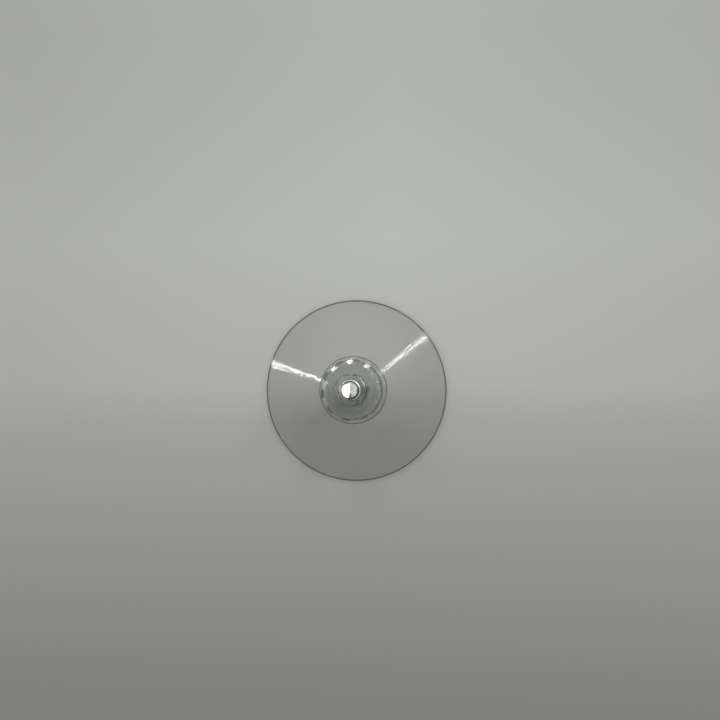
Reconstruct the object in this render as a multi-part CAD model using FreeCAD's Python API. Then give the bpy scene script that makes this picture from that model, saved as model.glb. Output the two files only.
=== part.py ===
import FreeCAD, Part

import math
import os

# Window suction cup with a threaded stud and a fluted thumb nut.
# Sizes are in millimetres and angles in degrees.
# The origin is the centre of the rim's seat, and +Z runs up the stud.

# Cup: one moulding in soft clear PVC
CUP_DIAMETER = 40.0
LIP_THICKNESS = 0.6
LIP_CHAMFER = 0.2
RIM_SEAT_WIDTH = 0.8
SKIRT_HEIGHT = 5.2
NECK_DIAMETER = 11.0
NECK_LENGTH = 0.9
NECK_CHAMFER = 0.3
FLANGE_DIAMETER = 14.4
FLANGE_THICKNESS = 1.9
FLANGE_EDGE_RADIUS = 0.6
FLANGE_FOOT_CHAMFER = 0.4
COVER_THICKNESS = 1.4
FLOOR_THICKNESS = 0.9
DOME_ROOF_DIAMETER = 15.0
DOME_ROOF_BLEND = 14.0

# Stud: a plated steel M4 screw, its hexagon head shut in the cup's hub
THREAD_DIAMETER = 4.0
STUD_LENGTH = 10.0
END_CHAMFER = 0.4
HEAD_ACROSS_FLATS = 7.0
HEAD_HEIGHT = 2.8
HEAD_CHAMFER_ANGLE = 30.0
POCKET_CLEARANCE = 0.05

# Thumb nut: one moulding in hard clear plastic, with flutes for the fingers
NUT_DIAMETER = 12.7
NUT_BODY_HEIGHT = 4.4
NUT_FOOT_CHAMFER = 0.45
NUT_SHOULDER_RADIUS = 0.9
NUT_RIM_WIDTH = 1.3
DISH_DEPTH = 0.4
COLLAR_DIAMETER = 6.3
COLLAR_RISE = 1.2
COLLAR_CHAMFER = 0.25
COUNTERSINK_DIAMETER = 5.1
COUNTERSINK_ANGLE = 45.0
FLUTE_COUNT = 10
FLUTE_RADIUS = 1.15
FLUTE_DEPTH = 1.0
FIRST_FLUTE_ANGLE = 25.0
THREAD_CLEARANCE = 0.05

# Heights that follow from the sizes above
cup_radius = CUP_DIAMETER / 2
neck_radius = NECK_DIAMETER / 2
flange_bottom = SKIRT_HEIGHT + NECK_LENGTH
flange_top = flange_bottom + FLANGE_THICKNESS
head_top = flange_top - COVER_THICKNESS
head_bottom = head_top - HEAD_HEIGHT
dome_height = head_bottom - FLOOR_THICKNESS
stud_end = head_top + STUD_LENGTH

UP = FreeCAD.Vector(0, 0, 1)


def at(radius, height):
    """A point of a section, which lies in the XZ plane."""
    return FreeCAD.Vector(radius, 0, height)


def polar(distance, degrees):
    """A point of a plan, which lies in the XY plane."""
    turn = math.radians(degrees)
    return FreeCAD.Vector(distance * math.cos(turn), distance * math.sin(turn), 0)


def rounded_outline(corners):
    """A closed wire through (radius, height, rounding) corners, each rounded by a tangent arc."""
    points = [at(radius, height) for radius, height, _ in corners]
    spans = []
    for index, (_, _, rounding) in enumerate(corners):
        corner = points[index]
        if rounding == 0:
            spans.append((corner, None, corner))
            continue
        back = points[index - 1] - corner
        ahead = points[(index + 1) % len(points)] - corner
        half_turn = back.getAngle(ahead) / 2
        reach = rounding / math.tan(half_turn)
        back.normalize()
        ahead.normalize()
        middle = back + ahead
        middle.normalize()
        inset = rounding / math.sin(half_turn) - rounding
        spans.append((corner + back * reach, corner + middle * inset, corner + ahead * reach))
    edges = []
    for index, (start, middle, end) in enumerate(spans):
        before = spans[index - 1][2]
        edges.append(Part.makeLine(before, start))
        if middle:
            edges.append(Part.Arc(start, middle, end).toShape())
    return Part.Wire(edges)


def turned(corners):
    """The solid that a section makes when it is turned about Z."""
    return Part.Face(rounded_outline(corners)).revolve(at(0, 0), UP, 360)


def hexagon_prism(across_flats, bottom, height):
    """A hexagon bar that stands on the axis, one corner on +X."""
    corner_radius = across_flats / 2 / math.cos(math.radians(30))
    plan = Part.makePolygon([polar(corner_radius, 60 * side) for side in range(7)])
    return Part.Face(plan).extrude(UP * height).translated(at(0, bottom))


def make_cup():
    """The skirt, neck and flange, hollowed by the vacuum dome and by the pocket that holds the stud."""
    flange_radius = FLANGE_DIAMETER / 2
    body = turned(
        [
            (0, 0, 0),
            (cup_radius - LIP_CHAMFER, 0, 0),
            (cup_radius, LIP_CHAMFER, 0),
            (cup_radius, LIP_THICKNESS - LIP_CHAMFER, 0),
            (cup_radius - LIP_CHAMFER, LIP_THICKNESS, 0),
            (neck_radius + NECK_CHAMFER, SKIRT_HEIGHT, 0),
            (neck_radius, SKIRT_HEIGHT + NECK_CHAMFER, 0),
            (neck_radius, flange_bottom - NECK_CHAMFER, 0),
            (neck_radius + NECK_CHAMFER, flange_bottom, 0),
            (flange_radius - FLANGE_FOOT_CHAMFER, flange_bottom, 0),
            (flange_radius, flange_bottom + FLANGE_FOOT_CHAMFER, 0),
            (flange_radius, flange_top, FLANGE_EDGE_RADIUS),
            (0, flange_top, 0),
        ]
    )
    dome = turned(
        [
            (0, 0, 0),
            (cup_radius - RIM_SEAT_WIDTH, 0, 0),
            (DOME_ROOF_DIAMETER / 2, dome_height, DOME_ROOF_BLEND),
            (0, dome_height, 0),
        ]
    )
    pocket = hexagon_prism(
        HEAD_ACROSS_FLATS + 2 * POCKET_CLEARANCE,
        head_bottom - POCKET_CLEARANCE,
        HEAD_HEIGHT + POCKET_CLEARANCE,
    )
    shank_radius = THREAD_DIAMETER / 2 + POCKET_CLEARANCE
    shank_hole = Part.makeCylinder(shank_radius, flange_top - head_bottom, at(0, head_bottom))
    return body.cut(dome).cut(pocket.fuse(shank_hole))


def make_stud():
    """The screw, head down, its head's corners chamfered below and its point chamfered above."""
    head = hexagon_prism(HEAD_ACROSS_FLATS, head_bottom, HEAD_HEIGHT)
    corner_radius = HEAD_ACROSS_FLATS / 2 / math.cos(math.radians(30))
    drop = (corner_radius - HEAD_ACROSS_FLATS / 2) * math.tan(math.radians(HEAD_CHAMFER_ANGLE))
    chamfer = turned(
        [
            (0, head_bottom, 0),
            (HEAD_ACROSS_FLATS / 2, head_bottom, 0),
            (corner_radius, head_bottom + drop, 0),
            (corner_radius, head_top, 0),
            (0, head_top, 0),
        ]
    )
    thread_radius = THREAD_DIAMETER / 2
    shank_foot = head_bottom + HEAD_HEIGHT / 2
    shank = turned(
        [
            (0, shank_foot, 0),
            (thread_radius, shank_foot, 0),
            (thread_radius, stud_end - END_CHAMFER, 0),
            (thread_radius - END_CHAMFER, stud_end, 0),
            (0, stud_end, 0),
        ]
    )
    return head.common(chamfer).fuse(shank)


def make_nut():
    """The fluted nut: a rounded body with a dished top, and a countersunk collar round the thread."""
    radius = NUT_DIAMETER / 2
    bore_radius = THREAD_DIAMETER / 2 + THREAD_CLEARANCE
    sink_radius = COUNTERSINK_DIAMETER / 2
    sink_depth = (sink_radius - bore_radius) / math.tan(math.radians(COUNTERSINK_ANGLE))
    collar_radius = COLLAR_DIAMETER / 2
    body_top = flange_top + NUT_BODY_HEIGHT
    collar_top = body_top + COLLAR_RISE
    body = turned(
        [
            (bore_radius, flange_top, 0),
            (radius - NUT_FOOT_CHAMFER, flange_top, 0),
            (radius, flange_top + NUT_FOOT_CHAMFER, 0),
            (radius, body_top, NUT_SHOULDER_RADIUS),
            (radius - NUT_RIM_WIDTH, body_top, 0),
            (collar_radius, body_top - DISH_DEPTH, 0),
            (collar_radius, collar_top - COLLAR_CHAMFER, 0),
            (collar_radius - COLLAR_CHAMFER, collar_top, 0),
            (sink_radius, collar_top, 0),
            (bore_radius, collar_top - sink_depth, 0),
        ]
    )
    flute_centre = radius - FLUTE_DEPTH + FLUTE_RADIUS
    for step in range(FLUTE_COUNT):
        turn = FIRST_FLUTE_ANGLE + step * 360 / FLUTE_COUNT
        flute_foot = polar(flute_centre, turn) + at(0, flange_top)
        body = body.cut(Part.makeCylinder(FLUTE_RADIUS, NUT_BODY_HEIGHT, flute_foot))
    return body


os.makedirs("parts", exist_ok=True)
for name, shape in {"cup": make_cup(), "stud": make_stud(), "thumb_nut": make_nut()}.items():
    print(name, shape.isValid(), len(shape.Solids), round(shape.Volume, 2), shape.BoundBox)
    shape.exportStep(f"parts/{name}.step")
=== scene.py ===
import math

import bpy
from mathutils import Matrix, Quaternion, Vector


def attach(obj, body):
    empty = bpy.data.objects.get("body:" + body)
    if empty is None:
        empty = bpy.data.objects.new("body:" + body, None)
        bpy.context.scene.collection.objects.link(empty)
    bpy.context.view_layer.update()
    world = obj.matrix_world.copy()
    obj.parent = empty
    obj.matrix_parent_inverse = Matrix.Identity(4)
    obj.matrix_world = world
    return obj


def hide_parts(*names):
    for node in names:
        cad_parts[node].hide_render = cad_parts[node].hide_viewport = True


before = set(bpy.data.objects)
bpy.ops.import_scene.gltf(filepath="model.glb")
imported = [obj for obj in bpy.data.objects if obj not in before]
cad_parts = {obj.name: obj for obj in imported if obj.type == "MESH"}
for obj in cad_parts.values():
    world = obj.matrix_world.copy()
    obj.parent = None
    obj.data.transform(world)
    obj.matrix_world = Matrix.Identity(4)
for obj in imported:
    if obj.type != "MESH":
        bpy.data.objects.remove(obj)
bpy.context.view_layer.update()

# The cup. Skirt, neck and head flange are one injection moulding in soft clear PVC. It stands on
# the thin lip of its skirt, and a blind hexagon pocket in its hub grips the head of the stud.
MM = 0.001
CUP_RADIUS = 20.0
LIP_THICKNESS = 0.6
LIP_ROUNDING = 0.32
LIP_FOOT_ROUNDING = 0.24
# From this radius out, the lip is darkened with painted shade.
RIM_SHADE_RADIUS = 19.8
SEAT_INNER_RADIUS = 19.2
SKIRT_HEIGHT = 5.2
NECK_RADIUS = 5.5
NECK_ROUNDING = 0.4
FLANGE_RADIUS = 7.2
FLANGE_FOOT = 6.1
FLANGE_TOP = 8.0
FLANGE_ROUNDING = 0.6
ROOF_RADIUS = 7.5
ROOF_HEIGHT = 2.9
ROOF_BLEND = 14.0
HEAD_FOOT = 3.8
HEAD_TOP = 6.6
HEAD_ACROSS_FLATS = 7.0
SHANK_RADIUS = 2.0
GRIP_CLEARANCE = 0.05
GRIP_BITE = 0.01
ROUND_STEPS = 192
ARC_STEP = math.radians(9)
HOLE_STEPS = 96
# How far a tool reaches past what it cuts, in mm. Then in metres: vertices nearer than the first
# are one, and a vertex nearer than the second lies on a point.
OVERSHOOT = 0.5
WELD = 1e-7
ON_POINT = 1e-6


def deselect_all():
    """Leaves nothing selected, so that an operator acts on the new piece alone."""
    if bpy.context.object and bpy.context.object.mode == "EDIT":
        bpy.ops.object.mode_set(mode="OBJECT")
    bpy.ops.object.select_all(action="DESELECT")


def take(piece):
    """Makes a piece the only selected and active one."""
    deselect_all()
    piece.select_set(True)
    bpy.context.view_layer.objects.active = piece


def drawn_line(name, start, points):
    """A new piece, left in edit mode: a line of edges through points that count from a start."""
    deselect_all()
    bpy.ops.mesh.primitive_plane_add(size=MM)
    piece = bpy.context.object
    piece.name = name
    bpy.ops.object.mode_set(mode="EDIT")
    bpy.ops.mesh.select_mode(type="VERT")
    bpy.ops.mesh.select_all(action="SELECT")
    bpy.ops.mesh.merge(type="CENTER")
    bpy.ops.transform.translate(value=start + points[0])
    for before, point in zip(points, points[1:]):
        bpy.ops.mesh.extrude_vertices_move(TRANSFORM_OT_translate={"value": point - before})
    return piece


def face_outward():
    """Turns all faces of the edited piece outward, and leaves edit mode."""
    bpy.ops.mesh.select_all(action="SELECT")
    bpy.ops.mesh.normals_make_consistent(inside=False)
    bpy.ops.object.mode_set(mode="OBJECT")


def turned(name, corners):
    """A closed piece spun about Z from (radius, height, rounding) corners of its section, in mm."""
    points = [Vector((radius * MM, 0, height * MM)) for radius, height, _ in corners]
    piece = drawn_line(name, Vector((0, 0, 0)), points)
    for index, (_, _, rounding) in enumerate(corners):
        if not rounding:
            continue
        back = points[index - 1] - points[index]
        ahead = points[(index + 1) % len(points)] - points[index]
        half_turn = back.angle(ahead) / 2
        arc = math.pi - 2 * half_turn
        bpy.ops.mesh.select_all(action="DESELECT")
        bpy.ops.object.mode_set(mode="OBJECT")
        for vertex in piece.data.vertices:
            vertex.select = (vertex.co - points[index]).length < ON_POINT
        bpy.ops.object.mode_set(mode="EDIT")
        bpy.ops.mesh.bevel(
            offset=rounding * MM / math.tan(half_turn),
            segments=max(3, round(arc / ARC_STEP)),
            affect="VERTICES",
        )
    bpy.ops.mesh.select_all(action="SELECT")
    bpy.ops.mesh.spin(steps=ROUND_STEPS, angle=math.tau, center=(0, 0, 0), axis=(0, 0, 1))
    bpy.ops.mesh.select_all(action="SELECT")
    bpy.ops.mesh.remove_doubles(threshold=WELD)
    face_outward()
    return piece


def hexagon_corner(across_flats):
    """How far a hexagon's corners lie from its middle."""
    return across_flats / 2 / math.cos(math.radians(30))


def hexagon_bar(name, across_flats, foot, top):
    """A hexagon bar with a corner on +X, between two heights in mm."""
    deselect_all()
    bpy.ops.mesh.primitive_cylinder_add(
        vertices=6,
        radius=hexagon_corner(across_flats) * MM,
        depth=(top - foot) * MM,
        location=(0, 0, (foot + top) / 2 * MM),
        rotation=(0, 0, math.radians(30)),
    )
    bpy.ops.object.transform_apply(location=True, rotation=True, scale=True)
    bpy.context.object.name = name
    return bpy.context.object


def combine(piece, tool, operation):
    """Cuts a piece with a tool, keeps what both hold, or joins the two, and takes the tool away."""
    take(piece)
    modifier = piece.modifiers.new(operation.lower(), "BOOLEAN")
    modifier.operation = operation
    modifier.solver = "EXACT"
    modifier.object = tool
    bpy.ops.object.modifier_apply(modifier=modifier.name)
    bpy.data.objects.remove(tool)


def shade(piece, degrees):
    """Smooth shading that breaks at edges sharper than an angle."""
    take(piece)
    bpy.ops.object.shade_smooth_by_angle(angle=math.radians(degrees))


cup = turned(
    "clear_cup",
    [
        (0, ROOF_HEIGHT, 0),
        (ROOF_RADIUS, ROOF_HEIGHT, ROOF_BLEND),
        (SEAT_INNER_RADIUS, 0, 0),
        (CUP_RADIUS, 0, LIP_FOOT_ROUNDING),
        (CUP_RADIUS, LIP_THICKNESS, LIP_ROUNDING),
        (NECK_RADIUS, SKIRT_HEIGHT, NECK_ROUNDING),
        (NECK_RADIUS, FLANGE_FOOT, NECK_ROUNDING),
        (FLANGE_RADIUS, FLANGE_FOOT, FLANGE_ROUNDING),
        (FLANGE_RADIUS, FLANGE_TOP, FLANGE_ROUNDING),
        (0, FLANGE_TOP, 0),
    ],
)
pocket = hexagon_bar(
    "pocket",
    HEAD_ACROSS_FLATS + 2 * GRIP_CLEARANCE,
    HEAD_FOOT - GRIP_CLEARANCE,
    HEAD_TOP - GRIP_BITE,
)
combine(cup, pocket, "DIFFERENCE")
deselect_all()
bpy.ops.mesh.primitive_cylinder_add(
    vertices=HOLE_STEPS,
    radius=(SHANK_RADIUS + GRIP_CLEARANCE) * MM,
    depth=(FLANGE_TOP - HEAD_FOOT) * MM,
    location=(0, 0, (FLANGE_TOP + HEAD_FOOT) / 2 * MM + OVERSHOOT * MM),
)
bpy.ops.object.transform_apply(location=True, rotation=True, scale=True)
combine(cup, bpy.context.object, "DIFFERENCE")
shade(cup, 30)


def linear(hex_colour):
    """An sRGB hex colour as the linear values that a shader takes."""
    channels = [int(hex_colour[place : place + 2], 16) / 255 for place in (1, 3, 5)]
    return [c / 12.92 if c <= 0.04045 else ((c + 0.055) / 1.055) ** 2.4 for c in channels] + [1.0]


def add_node(tree, kind, settings=None, inputs=None, stops=()):
    """Adds a node and sets its properties, its inputs and a ramp's (position, sRGB hex) stops.

    An input that is given a socket is linked to it.
    """
    node = tree.nodes.new(kind)
    for name, value in (settings or {}).items():
        setattr(node, name, value)
    for name, value in (inputs or {}).items():
        if isinstance(value, bpy.types.NodeSocket):
            tree.links.new(value, node.inputs[name])
        else:
            node.inputs[name].default_value = value
    if stops:
        elements = node.color_ramp.elements
        while len(elements) < len(stops):
            elements.new(1.0)
        for element, (position, colour) in zip(elements, stops):
            element.position = position
            element.color = linear(colour)
    return node


def new_material(name):
    """An empty node material, with its tree and the place of every point in metres."""
    material = bpy.data.materials.new(name)
    material.use_nodes = True
    tree = material.node_tree
    tree.nodes.clear()
    place = add_node(tree, "ShaderNodeTexCoord").outputs["Object"]
    return material, tree, place


def off_axis(tree, place):
    """How far each point lies from the piece's axis."""
    plan = add_node(
        tree, "ShaderNodeVectorMath", {"operation": "MULTIPLY"}, {0: place, 1: (1.0, 1.0, 0.0)}
    )
    return add_node(
        tree, "ShaderNodeVectorMath", {"operation": "LENGTH"}, {0: plan.outputs["Vector"]}
    ).outputs["Value"]


GRAIN_MM = 0.55
GRAIN_HEIGHT_MM = 0.011
# How far inward from that radius the lip's painted shade fades, in mm.
RIM_SHADE_FADE_MM = 0.3
SHADE_TINT = "#2A2B2C"


def clear_moulding(
    name, tint, painted_edge_shade, edge_shade_power, ior, roughness, wave_mm, wave_height_mm, rim_shade_mm=None
):
    """A clear moulded plastic: gently uneven where it cooled, with faint haze and a body tint.

    The tint deepens at grazing angles, partly for the long way light has through the wall and
    partly as painted shade that darkens steep walls and edges into dark outlines. From a given
    radius out it also deepens into a painted shade ring on the lip. Shadow rays pass straight
    through with a gentler tint, so that the floor under the piece is lit without speckle.
    """
    material, tree, place = new_material(name)
    waves = add_node(
        tree,
        "ShaderNodeTexNoise",
        inputs={"Vector": place, "Scale": 1 / (wave_mm * MM), "Detail": 2.0, "Roughness": 0.5},
    )
    fine = add_node(
        tree,
        "ShaderNodeTexNoise",
        inputs={"Vector": place, "Scale": 1 / (GRAIN_MM * MM), "Detail": 2.0, "Roughness": 0.5},
    )
    haze = add_node(
        tree,
        "ShaderNodeMapRange",
        inputs={
            "Value": fine.outputs["Fac"],
            "From Min": 0.35,
            "From Max": 0.75,
            "To Min": roughness,
            "To Max": roughness * 2.2,
        },
    )
    swell = add_node(
        tree,
        "ShaderNodeBump",
        inputs={
            "Strength": 1.0,
            "Distance": wave_height_mm * MM,
            "Height": waves.outputs["Fac"],
        },
    )
    grain = add_node(
        tree,
        "ShaderNodeBump",
        inputs={
            "Strength": 1.0,
            "Distance": GRAIN_HEIGHT_MM * MM,
            "Height": fine.outputs["Fac"],
            "Normal": swell.outputs["Normal"],
        },
    )
    # Painted shade: the tint is mixed towards a near-black edge colour on steep walls and at
    # grazing angles, partly for the long way through the wall and partly to draw dark outlines.
    edge = add_node(tree, "ShaderNodeLayerWeight", inputs={"Blend": 0.5})
    grazing = add_node(
        tree,
        "ShaderNodeMath",
        {"operation": "POWER"},
        {0: edge.outputs["Facing"], 1: edge_shade_power},
    )
    steep = add_node(
        tree,
        "ShaderNodeMapRange",
        {"interpolation_type": "SMOOTHSTEP"},
        {"Value": edge.outputs["Facing"], "From Min": 0.1, "From Max": 0.5, "To Max": 0.95},
    )
    depth = add_node(
        tree,
        "ShaderNodeMath",
        {"operation": "MAXIMUM"},
        {0: grazing.outputs["Value"], 1: steep.outputs["Result"]},
    ).outputs["Value"]
    # Painted shade: a dark ring on the lip from a given radius outward, drawn as the rim's dark
    # outline.
    if rim_shade_mm:
        lip = add_node(
            tree,
            "ShaderNodeMapRange",
            {"interpolation_type": "SMOOTHSTEP"},
            {
                "Value": off_axis(tree, place),
                "From Min": (rim_shade_mm - RIM_SHADE_FADE_MM) * MM,
                "From Max": rim_shade_mm * MM,
                "To Max": 0.72,
            },
        )
        depth = add_node(
            tree, "ShaderNodeMath", {"operation": "MAXIMUM"}, {0: depth, 1: lip.outputs["Result"]}
        ).outputs["Value"]
    passing = add_node(
        tree,
        "ShaderNodeMix",
        {"data_type": "RGBA"},
        {"Factor": depth, "A": linear(tint), "B": linear(painted_edge_shade)},
    )
    body = add_node(
        tree,
        "ShaderNodeBsdfPrincipled",
        inputs={
            "Base Color": passing.outputs["Result"],
            "Roughness": haze.outputs["Result"],
            "IOR": ior,
            "Transmission Weight": 1.0,
            "Normal": grain.outputs["Normal"],
        },
    )
    skimming = add_node(
        tree,
        "ShaderNodeMath",
        {"operation": "POWER"},
        {0: edge.outputs["Facing"], 1: 5.0},
    )
    shaded = add_node(
        tree,
        "ShaderNodeMix",
        {"data_type": "RGBA"},
        {"Factor": skimming.outputs["Value"], "A": linear(tint), "B": linear(SHADE_TINT)},
    )
    through = add_node(
        tree, "ShaderNodeBsdfTransparent", inputs={"Color": shaded.outputs["Result"]}
    )
    ray = add_node(tree, "ShaderNodeLightPath")
    surface = add_node(
        tree, "ShaderNodeMixShader", inputs={"Fac": ray.outputs["Is Shadow Ray"]}
    )
    tree.links.new(body.outputs["BSDF"], surface.inputs[1])
    tree.links.new(through.outputs["BSDF"], surface.inputs[2])
    add_node(
        tree, "ShaderNodeOutputMaterial", inputs={"Surface": surface.outputs["Shader"]}
    )
    return material


# Soft PVC: plasticised, injection moulded in a polished mould. Very clear and almost without
# colour, with a wet gloss, slow waves in its skin where the thick hub shrank, and a fine grain.
cup.data.materials.clear()
cup.data.materials.append(
    clear_moulding(
        "soft_pvc_moulded",
        tint="#FAFAFA",
        # A near-black painted edge shade darkens the cup's steep walls and edges.
        painted_edge_shade="#040405",
        edge_shade_power=1.1,
        ior=1.53,
        roughness=0.05,
        wave_mm=2.2,
        wave_height_mm=0.03,
        # The lip is darkened with painted shade from this radius out.
        rim_shade_mm=RIM_SHADE_RADIUS,
    )
)
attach(cup, "cup")
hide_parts("cup")


# The stud: a cold-headed, thread-rolled M4 x 10 steel screw with a bright zinc plate, set head
# down in the cup's hub. Its end is as the blank was cropped: tapered, with slanting bright faces.
STUD_END = 16.6
THREAD_PITCH = 0.7
THREAD_PHASE = 0.18
THREAD_CREST_RADIUS = 2.0
THREAD_ROOT_RADIUS = 1.6
FLANK_WAIST = 0.2
THREAD_STEPS = 64
SHANK_FOOT = HEAD_FOOT + 1.0
END_CHAMFER = 0.45
END_TAPER = 1.2
END_ROUNDING = 0.08
END_SPARE = 0.3
# The faces of the cropped end: azimuth, distance from the axis at the end's height in mm, and
# slope in degrees. Two bright halves meet in a ridge, and two steep nicks clip its edge.
END_FACES = ((163, -0.3, 19.4), (34, -0.2, 13), (122, 1.05, 56), (285, 1.4, 50))
# How far a turned blank reaches outside its piece, and where the cone under the head runs, in mm
MARGIN = 0.2
HEAD_CONE_INSET = 0.87
HEAD_CONE_RISE = 0.43


def direction(azimuth, off_zenith):
    """The unit vector at an azimuth from +X and an angle from straight up, in degrees."""
    turn = math.radians(azimuth)
    lean = math.radians(off_zenith)
    return Vector(
        (math.cos(turn) * math.sin(lean), math.sin(turn) * math.sin(lean), math.cos(lean))
    )


def slice_off(on_cut, outward):
    """Cuts the edited piece by a plane, takes away what lies outward of it and fills the cut."""
    bpy.ops.mesh.select_all(action="SELECT")
    bpy.ops.mesh.bisect(
        plane_co=on_cut,
        plane_no=outward,
        use_fill=True,
        clear_outer=True,
        threshold=WELD,
    )


def helix(name, root, crest, foot, top):
    """A closed right-hand thread with hollow flanks between two heights in mm."""
    waist = root + FLANK_WAIST
    # One turn's radius and rise: the groove's floor, a flank, the crest, a flank, the next floor
    profile = [
        (root, 0.0),
        (root, 0.08),
        (waist, 0.27),
        (crest, 0.36),
        (crest, 0.42),
        (waist, 0.51),
        (root, THREAD_PITCH),
    ]
    points = [Vector((radius * MM, 0, rise * MM)) for radius, rise in profile]
    first_turn = math.floor(foot / THREAD_PITCH) - 1
    turns = math.ceil(top / THREAD_PITCH) + 1 - first_turn
    start = Vector((0, 0, (first_turn * THREAD_PITCH + THREAD_PHASE) * MM))
    piece = drawn_line(name, start, points)
    bpy.ops.object.mode_set(mode="OBJECT")
    screw = piece.modifiers.new("thread", "SCREW")
    screw.steps = THREAD_STEPS
    screw.render_steps = THREAD_STEPS
    screw.iterations = turns
    screw.screw_offset = THREAD_PITCH * MM
    screw.use_merge_vertices = False
    bpy.ops.object.modifier_apply(modifier="thread")
    bpy.ops.object.mode_set(mode="EDIT")
    bpy.ops.mesh.select_all(action="SELECT")
    bpy.ops.mesh.remove_doubles(threshold=WELD)
    for height, outward in ((foot, -1), (top, 1)):
        slice_off((0, 0, height * MM), (0, 0, outward))
    face_outward()
    return piece


stud = helix(
    "threaded_stud", THREAD_ROOT_RADIUS, THREAD_CREST_RADIUS, SHANK_FOOT, STUD_END + END_SPARE
)
blank_radius = THREAD_CREST_RADIUS + MARGIN
end_radius = THREAD_CREST_RADIUS - END_CHAMFER
blank = turned(
    "blank",
    [
        (0, SHANK_FOOT - OVERSHOOT, 0),
        (blank_radius, SHANK_FOOT - OVERSHOOT, 0),
        (blank_radius, STUD_END - END_TAPER, 0),
        (end_radius, STUD_END, END_ROUNDING),
        (0, STUD_END, 0),
    ],
)
combine(stud, blank, "INTERSECT")
take(stud)
bpy.ops.object.mode_set(mode="EDIT")
for azimuth, reach, slope in END_FACES:
    turn = math.radians(azimuth)
    on_cut = (math.cos(turn) * reach * MM, math.sin(turn) * reach * MM, STUD_END * MM)
    slice_off(on_cut, direction(azimuth, slope))
bpy.ops.object.mode_set(mode="OBJECT")
head = hexagon_bar("head", HEAD_ACROSS_FLATS, HEAD_FOOT, HEAD_TOP)
head_reach = hexagon_corner(HEAD_ACROSS_FLATS) + MARGIN
head_blank = turned(
    "head_blank",
    [
        (0, HEAD_FOOT - OVERSHOOT, 0),
        (HEAD_ACROSS_FLATS / 2 - HEAD_CONE_INSET, HEAD_FOOT - OVERSHOOT, 0),
        (head_reach, HEAD_FOOT + HEAD_CONE_RISE, 0),
        (head_reach, HEAD_TOP + OVERSHOOT, 0),
        (0, HEAD_TOP + OVERSHOOT, 0),
    ],
)
combine(head, head_blank, "INTERSECT")
combine(stud, head, "UNION")
shade(stud, 8)


CRYSTAL_MM = 0.4
PIT_DEPTH_MM = 0.035
# Distances from the axis, in mm, between which painted shade darkens the grooves and the edge of
# the cropped end, and where the crests come clear of it
GROOVE_SHADE_STARTS = 1.52
GROOVE_SHADE_FULL = 1.66
CREST_STARTS = 1.9
CREST_UNSHADED = 1.98


def plated_steel(name):
    """Bright zinc plate over rolled steel: mottled crystals, soft pits, and painted shade in the
    grooves.
    """
    material, tree, place = new_material(name)
    crystals = add_node(
        tree,
        "ShaderNodeTexNoise",
        inputs={"Vector": place, "Scale": 1 / (CRYSTAL_MM * MM), "Detail": 4.0, "Roughness": 0.65},
    )
    tone = add_node(
        tree,
        "ShaderNodeMix",
        {"data_type": "RGBA"},
        {"Factor": crystals.outputs["Fac"], "A": linear("#C9CBC9"), "B": linear("#EDEDE8")},
    )
    spread = off_axis(tree, place)
    # Painted shade: a dark ring between these distances from the axis, over the grooves and the
    # outer edge of the cropped end.
    groove = add_node(
        tree,
        "ShaderNodeMapRange",
        {"interpolation_type": "SMOOTHSTEP"},
        {"Value": spread, "From Min": GROOVE_SHADE_STARTS * MM, "From Max": GROOVE_SHADE_FULL * MM, "To Max": 0.9},
    )
    crest = add_node(
        tree,
        "ShaderNodeMapRange",
        {"interpolation_type": "SMOOTHSTEP"},
        {
            "Value": spread,
            "From Min": CREST_STARTS * MM,
            "From Max": CREST_UNSHADED * MM,
            "To Min": 1.0,
            "To Max": 0.0,
        },
    )
    groove_shade = add_node(
        tree,
        "ShaderNodeMath",
        {"operation": "MULTIPLY"},
        {0: groove.outputs["Result"], 1: crest.outputs["Result"]},
    )
    # Painted shade: the ring is mixed towards dark grey.
    skin = add_node(
        tree,
        "ShaderNodeMix",
        {"data_type": "RGBA"},
        {"Factor": groove_shade.outputs["Value"], "A": tone.outputs["Result"], "B": linear("#3A3B3A")},
    )
    polish = add_node(
        tree,
        "ShaderNodeMapRange",
        inputs={
            "Value": crystals.outputs["Fac"],
            "From Min": 0.3,
            "From Max": 0.7,
            "To Min": 0.22,
            "To Max": 0.4,
        },
    )
    pits = add_node(
        tree,
        "ShaderNodeBump",
        inputs={
            "Strength": 1.0,
            "Distance": PIT_DEPTH_MM * MM,
            "Height": crystals.outputs["Fac"],
        },
    )
    metal = add_node(
        tree,
        "ShaderNodeBsdfPrincipled",
        inputs={
            "Base Color": skin.outputs["Result"],
            "Metallic": 1.0,
            "Roughness": polish.outputs["Result"],
            "Normal": pits.outputs["Normal"],
        },
    )
    add_node(tree, "ShaderNodeOutputMaterial", inputs={"Surface": metal.outputs["BSDF"]})
    return material


# Bright zinc on rolled steel: a hard grey-white shine that breaks up on the cropped end. Real
# crystals are far finer than 0.4 mm, and are drawn this coarse so that they show.
stud.data.materials.clear()
stud.data.materials.append(plated_steel("zinc_plated_steel_rolled"))
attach(stud, "cup")
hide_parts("stud")


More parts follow.
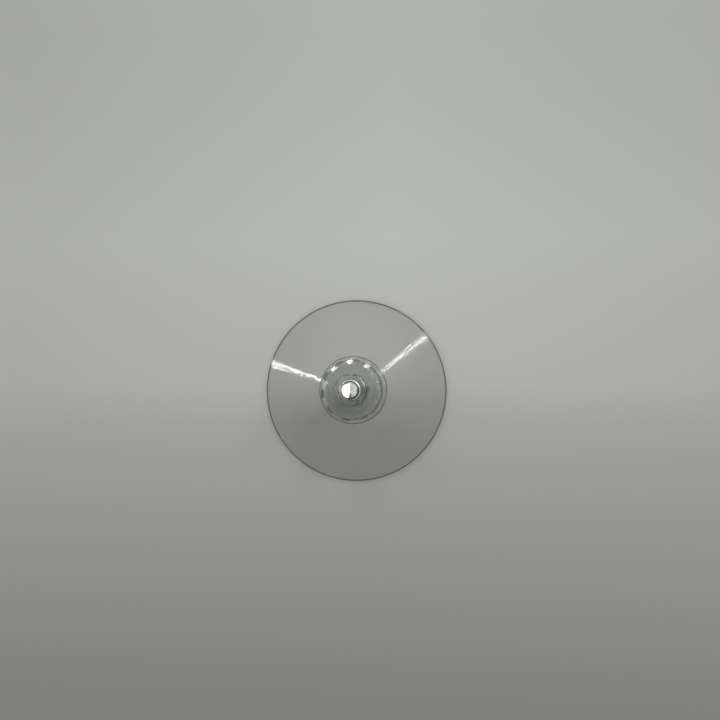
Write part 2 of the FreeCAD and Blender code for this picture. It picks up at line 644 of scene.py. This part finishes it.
# The thumb nut: one injection moulding in hard clear polystyrene, run down by hand on the stud
# until it meets the flange. Ten flutes give the fingers hold, and a collar rings its thread.
NUT_RADIUS = 6.35
NUT_BODY_TOP = 12.4
NUT_FOOT_CHAMFER = 0.45
RIM_WIDTH = 1.5
SHOULDER_DROP = 0.95
SHOULDER_INSET = 0.6
CROWN_DROP = 0.25
SMALL_ROUNDING = 0.1
FLUTE_FLOOR = 9.2
FLUTE_FLOOR_DROP = 0.85
DISH_DEPTH = 0.4
COLLAR_RADIUS = 3.15
COLLAR_TOP = 13.6
COLLAR_EDGE = 0.2
SINK_RADIUS = 2.55
SINK_DEPTH = 1.4
SINK_FOOT_RADIUS = THREAD_ROOT_RADIUS - 0.3
FLUTES = 10
FLUTE_RADIUS = 1.15
FLUTE_DEPTH = 1.0
FLUTE_SOFTNESS = 0.12
FIRST_FLUTE = math.radians(25)
THREAD_CLEARANCE = 0.05
SEAT_GAP = 0.02
# The outline is turned a little and the blank is a hair wider, so that no edges coincide
OUTLINE_STEPS = 720
OUTLINE_TURN = math.radians(0.13)
HAIR = 0.005
BAR_SPARE = 1
BAR_FOOT = FLANGE_TOP - BAR_SPARE
BAR_HEIGHT = COLLAR_TOP + 2 * BAR_SPARE - FLANGE_TOP


def fluted_radius(angle):
    """How far the nut's outline lies from its axis in a direction, in mm."""
    pitch = math.tau / FLUTES
    off_flute = (angle - FIRST_FLUTE + pitch / 2) % pitch - pitch / 2
    centre = NUT_RADIUS - FLUTE_DEPTH + FLUTE_RADIUS
    aside = centre * math.sin(off_flute)
    if abs(aside) >= FLUTE_RADIUS:
        return NUT_RADIUS
    flute = centre * math.cos(off_flute) - math.sqrt(FLUTE_RADIUS**2 - aside**2)
    blend = max(FLUTE_SOFTNESS - abs(flute - NUT_RADIUS), 0) / FLUTE_SOFTNESS
    return min(flute, NUT_RADIUS) - blend**2 * FLUTE_SOFTNESS / 4


deselect_all()
bpy.ops.mesh.primitive_circle_add(
    vertices=OUTLINE_STEPS,
    radius=NUT_RADIUS * MM,
    fill_type="NGON",
    location=(0, 0, BAR_FOOT * MM),
    rotation=(0, 0, OUTLINE_TURN),
)
nut = bpy.context.object
nut.name = "clear_thumb_nut"
bpy.ops.object.transform_apply(location=True, rotation=True, scale=True)
for vertex in nut.data.vertices:
    angle = math.atan2(vertex.co.y, vertex.co.x)
    radius = fluted_radius(angle)
    vertex.co.x = radius * math.cos(angle) * MM
    vertex.co.y = radius * math.sin(angle) * MM
bpy.ops.object.mode_set(mode="EDIT")
bpy.ops.mesh.select_all(action="SELECT")
bpy.ops.mesh.extrude_region_move(TRANSFORM_OT_translate={"value": (0, 0, BAR_HEIGHT * MM)})
face_outward()
run_out = turned(
    "run_out",
    [
        (0, BAR_FOOT - OVERSHOOT, 0),
        (NUT_RADIUS + MARGIN, BAR_FOOT - OVERSHOOT, 0),
        (NUT_RADIUS + MARGIN, FLUTE_FLOOR - FLUTE_FLOOR_DROP, 0),
        (NUT_RADIUS - RIM_WIDTH, FLUTE_FLOOR, 0),
        (0, FLUTE_FLOOR, 0),
    ],
)
combine(nut, run_out, "UNION")
nut_foot = FLANGE_TOP + SEAT_GAP
nut_side = NUT_RADIUS + HAIR
nut_blank = turned(
    "nut_blank",
    [
        (0, nut_foot, 0),
        (nut_side - NUT_FOOT_CHAMFER, nut_foot, SMALL_ROUNDING),
        (nut_side, nut_foot + NUT_FOOT_CHAMFER, SMALL_ROUNDING),
        (nut_side, NUT_BODY_TOP - SHOULDER_DROP, 0.4),
        (NUT_RADIUS - SHOULDER_INSET, NUT_BODY_TOP - CROWN_DROP, 2.0),
        (NUT_RADIUS - RIM_WIDTH, NUT_BODY_TOP, 0.6),
        (COLLAR_RADIUS, NUT_BODY_TOP - DISH_DEPTH, 0.3),
        (COLLAR_RADIUS, COLLAR_TOP - SMALL_ROUNDING, SMALL_ROUNDING),
        (COLLAR_RADIUS - COLLAR_EDGE, COLLAR_TOP, SMALL_ROUNDING),
        (SINK_RADIUS, COLLAR_TOP - COLLAR_EDGE, SMALL_ROUNDING),
        (SINK_FOOT_RADIUS, COLLAR_TOP - SINK_DEPTH, 0),
        (0, COLLAR_TOP - SINK_DEPTH, 0),
    ],
)
combine(nut, nut_blank, "INTERSECT")
tap = helix(
    "tap",
    THREAD_ROOT_RADIUS + THREAD_CLEARANCE,
    THREAD_CREST_RADIUS + THREAD_CLEARANCE,
    FLANGE_TOP - OVERSHOOT,
    COLLAR_TOP + OVERSHOOT,
)
combine(nut, tap, "DIFFERENCE")
shade(nut, 28)

# Hard polystyrene, injection moulded: clear with a faint grey-green body, and a smoother and
# glossier skin than the soft cup's.
nut.data.materials.clear()
nut.data.materials.append(
    clear_moulding(
        "polystyrene_moulded",
        tint="#E3E8E6",
        # A near-black painted edge shade darkens the nut's steep walls, flutes and edges.
        painted_edge_shade="#101211",
        edge_shade_power=1.9,
        ior=1.59,
        roughness=0.03,
        wave_mm=3.0,
        wave_height_mm=0.01,
    )
)
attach(nut, "thumb_nut")
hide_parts("thumb_nut")


# The floor: a plain pale sheet of matt board under the cup. Its grey holds painted shade: a soft
# painted shadow darkens it towards the viewer, and painted falloff of the light darkens it a
# little towards the far edge and both sides, as in the photo.
FLOOR_SIZE = 5.0
FLOOR_DROP = 0.02
BOARD_NEAR = -75
BOARD_FAR = 85
BRIGHTEST_X = 8
SIDE_REACH = 85
SIDES_START = -50
SIDES_FULL = 20
TOOTH_MM = 0.5
deselect_all()
bpy.ops.mesh.primitive_plane_add(size=FLOOR_SIZE, location=(0, 0, -FLOOR_DROP * MM))
floor = bpy.context.object
floor.name = "floor"
floor_material, tree, place = new_material("matt_board")
where = add_node(tree, "ShaderNodeSeparateXYZ", inputs={"Vector": place})
away = add_node(
    tree,
    "ShaderNodeMapRange",
    inputs={
        "Value": where.outputs["Y"],
        "From Min": BOARD_NEAR * MM,
        "From Max": BOARD_FAR * MM,
    },
)
# Painted shade along Y: the ramp's greys darken the board towards the viewer and a little towards
# the far edge.
board = add_node(
    tree,
    "ShaderNodeValToRGB",
    inputs={"Fac": away.outputs["Result"]},
    stops=[
        (0.04, "#80807A"),
        (0.23, "#8F8F89"),
        (0.37, "#9B9C96"),
        (0.42, "#A1A29C"),
        (0.475, "#ADAEA8"),
        (0.53, "#B0B1AC"),
        (0.68, "#B4B6B1"),
        (0.87, "#ACAEAB"),
        (0.98, "#A9ABA8"),
    ],
)
# Painted shade towards both sides, fading out towards the viewer.
off_middle = add_node(
    tree,
    "ShaderNodeMath",
    {"operation": "SUBTRACT"},
    {0: where.outputs["X"], 1: BRIGHTEST_X * MM},
)
aside = add_node(
    tree, "ShaderNodeMath", {"operation": "ABSOLUTE"}, {0: off_middle.outputs["Value"]}
)
sideways = add_node(
    tree,
    "ShaderNodeMapRange",
    inputs={"Value": aside.outputs["Value"], "From Max": SIDE_REACH * MM, "To Max": 0.3},
)
beyond = add_node(
    tree,
    "ShaderNodeMapRange",
    {"interpolation_type": "SMOOTHSTEP"},
    {
        "Value": where.outputs["Y"],
        "From Min": SIDES_START * MM,
        "From Max": SIDES_FULL * MM,
    },
)
painted_side_shade = add_node(
    tree,
    "ShaderNodeMath",
    {"operation": "MULTIPLY"},
    {0: sideways.outputs["Result"], 1: beyond.outputs["Result"]},
)
shaded_board = add_node(
    tree,
    "ShaderNodeMix",
    {"data_type": "RGBA"},
    {
        "Factor": painted_side_shade.outputs["Value"],
        "A": board.outputs["Color"],
        "B": linear("#848480"),
    },
)
tooth = add_node(
    tree,
    "ShaderNodeTexNoise",
    inputs={"Vector": place, "Scale": 1 / (TOOTH_MM * MM), "Detail": 2.0, "Roughness": 0.5},
)
bumps = add_node(
    tree,
    "ShaderNodeBump",
    inputs={"Strength": 0.2, "Distance": 0.01 * MM, "Height": tooth.outputs["Fac"]},
)
matt = add_node(
    tree,
    "ShaderNodeBsdfPrincipled",
    inputs={
        "Base Color": shaded_board.outputs["Result"],
        "Roughness": 0.9,
        "Specular IOR Level": 0.1,
        "Normal": bumps.outputs["Normal"],
    },
)
add_node(tree, "ShaderNodeOutputMaterial", inputs={"Surface": matt.outputs["BSDF"]})
floor.data.materials.append(floor_material)


# The light: a soft grey room, brightest at mid height and on the far side. Two narrow strip lamps
# draw the streaks down the skirt, three windows light the ends of the far flutes, and two low
# lamps edge the nut and the flange.
LAMP_DISTANCE = 1.0
STRIP = {"width": 0.022, "length": 0.36}
WINDOW = {"width": 0.25, "length": 0.1}
LOW_PANEL = {"width": 0.3, "length": 0.15}


def aimed_lamp(name, azimuth, off_zenith, watts, width, length, twist=0):
    """A lamp aimed at the cup, its length in the plane through the cup's axis unless twisted."""
    turn = math.radians(azimuth)
    outward = direction(azimuth, off_zenith)
    bpy.ops.object.light_add(type="AREA", location=outward * LAMP_DISTANCE)
    lamp = bpy.context.object
    lamp.name = name
    lamp.data.shape = "RECTANGLE"
    lamp.data.size = width
    lamp.data.size_y = length
    lamp.data.energy = watts
    lamp.rotation_mode = "QUATERNION"
    across = Vector((-math.sin(turn), math.cos(turn), 0))
    across.rotate(Quaternion(outward, math.radians(twist)))
    along = outward.cross(across)
    lamp.rotation_quaternion = Matrix((across, along, outward)).transposed().to_quaternion()


aimed_lamp("left_strip", 165, 46, 0.75, **STRIP, twist=-6)
aimed_lamp("right_strip", 39, 38, 0.75, **STRIP, twist=14)
aimed_lamp("window_left", 133, 58, 1.3, **WINDOW)
aimed_lamp("window_middle", 98, 55, 1.3, **WINDOW)
aimed_lamp("window_right", 60, 55, 1.3, **WINDOW)
aimed_lamp("low_left", 172, 64, 0.8, **LOW_PANEL)
aimed_lamp("low_right", 26, 57, 1.9, **LOW_PANEL)

BRIGHT_SIDE = (-0.2, 0.98, 0.0)
world = bpy.data.worlds.new("soft_grey_room")
bpy.context.scene.world = world
world.use_nodes = True
tree = world.node_tree
tree.nodes.clear()
around = add_node(tree, "ShaderNodeTexCoord")
toward = add_node(
    tree, "ShaderNodeSeparateXYZ", inputs={"Vector": around.outputs["Generated"]}
)
glow = add_node(
    tree,
    "ShaderNodeValToRGB",
    inputs={"Fac": toward.outputs["Z"]},
    stops=[
        (0.0, "#6E6E6E"),
        (0.15, "#C8C8C8"),
        (0.3, "#FFFFFF"),
        (0.6, "#FFFFFF"),
        (0.75, "#ACACAC"),
        (0.9, "#A0A0A0"),
        (0.97, "#5A5A5A"),
        (1.0, "#505050"),
    ],
)
facing = add_node(
    tree,
    "ShaderNodeVectorMath",
    {"operation": "DOT_PRODUCT"},
    {0: around.outputs["Generated"], 1: BRIGHT_SIDE},
)
side = add_node(
    tree,
    "ShaderNodeMapRange",
    inputs={
        "Value": facing.outputs["Value"],
        "From Min": -1.0,
        "From Max": 1.0,
        "To Min": 0.8,
        "To Max": 1.1,
    },
)
sky = add_node(
    tree,
    "ShaderNodeBackground",
    inputs={"Color": glow.outputs["Color"], "Strength": side.outputs["Result"]},
)
add_node(tree, "ShaderNodeOutputWorld", inputs={"Surface": sky.outputs["Background"]})
world.cycles.sampling_method = "NONE"
bpy.context.scene.cycles.sample_clamp_indirect = 3.0
bpy.context.scene.cycles.max_bounces = 24
bpy.context.scene.cycles.transmission_bounces = 20
bpy.context.scene.cycles.glossy_bounces = 12
bpy.context.scene.cycles.transparent_max_bounces = 24

# The camera: almost straight above the cup, a little to its right, as in the photo. Its square
# picture takes in about 160 mm of the floor.
CAMERA_PLACE = Vector((13.0, 0.0, 159.5)) * MM
CAMERA_AIM = Vector((0.9, 6.7, 0.0)) * MM
bpy.ops.object.camera_add(location=CAMERA_PLACE)
camera = bpy.context.object
camera.data.sensor_width = 36
camera.data.lens = 36
camera.data.clip_start = 0.01
camera.data.clip_end = 20
back = (CAMERA_PLACE - CAMERA_AIM).normalized()
right = Vector((0, 1, 0)).cross(back).normalized()
camera.rotation_mode = "QUATERNION"
camera.rotation_quaternion = Matrix((right, back.cross(right), back)).transposed().to_quaternion()
bpy.context.scene.camera = camera
bpy.context.scene.view_settings.view_transform = "Standard"
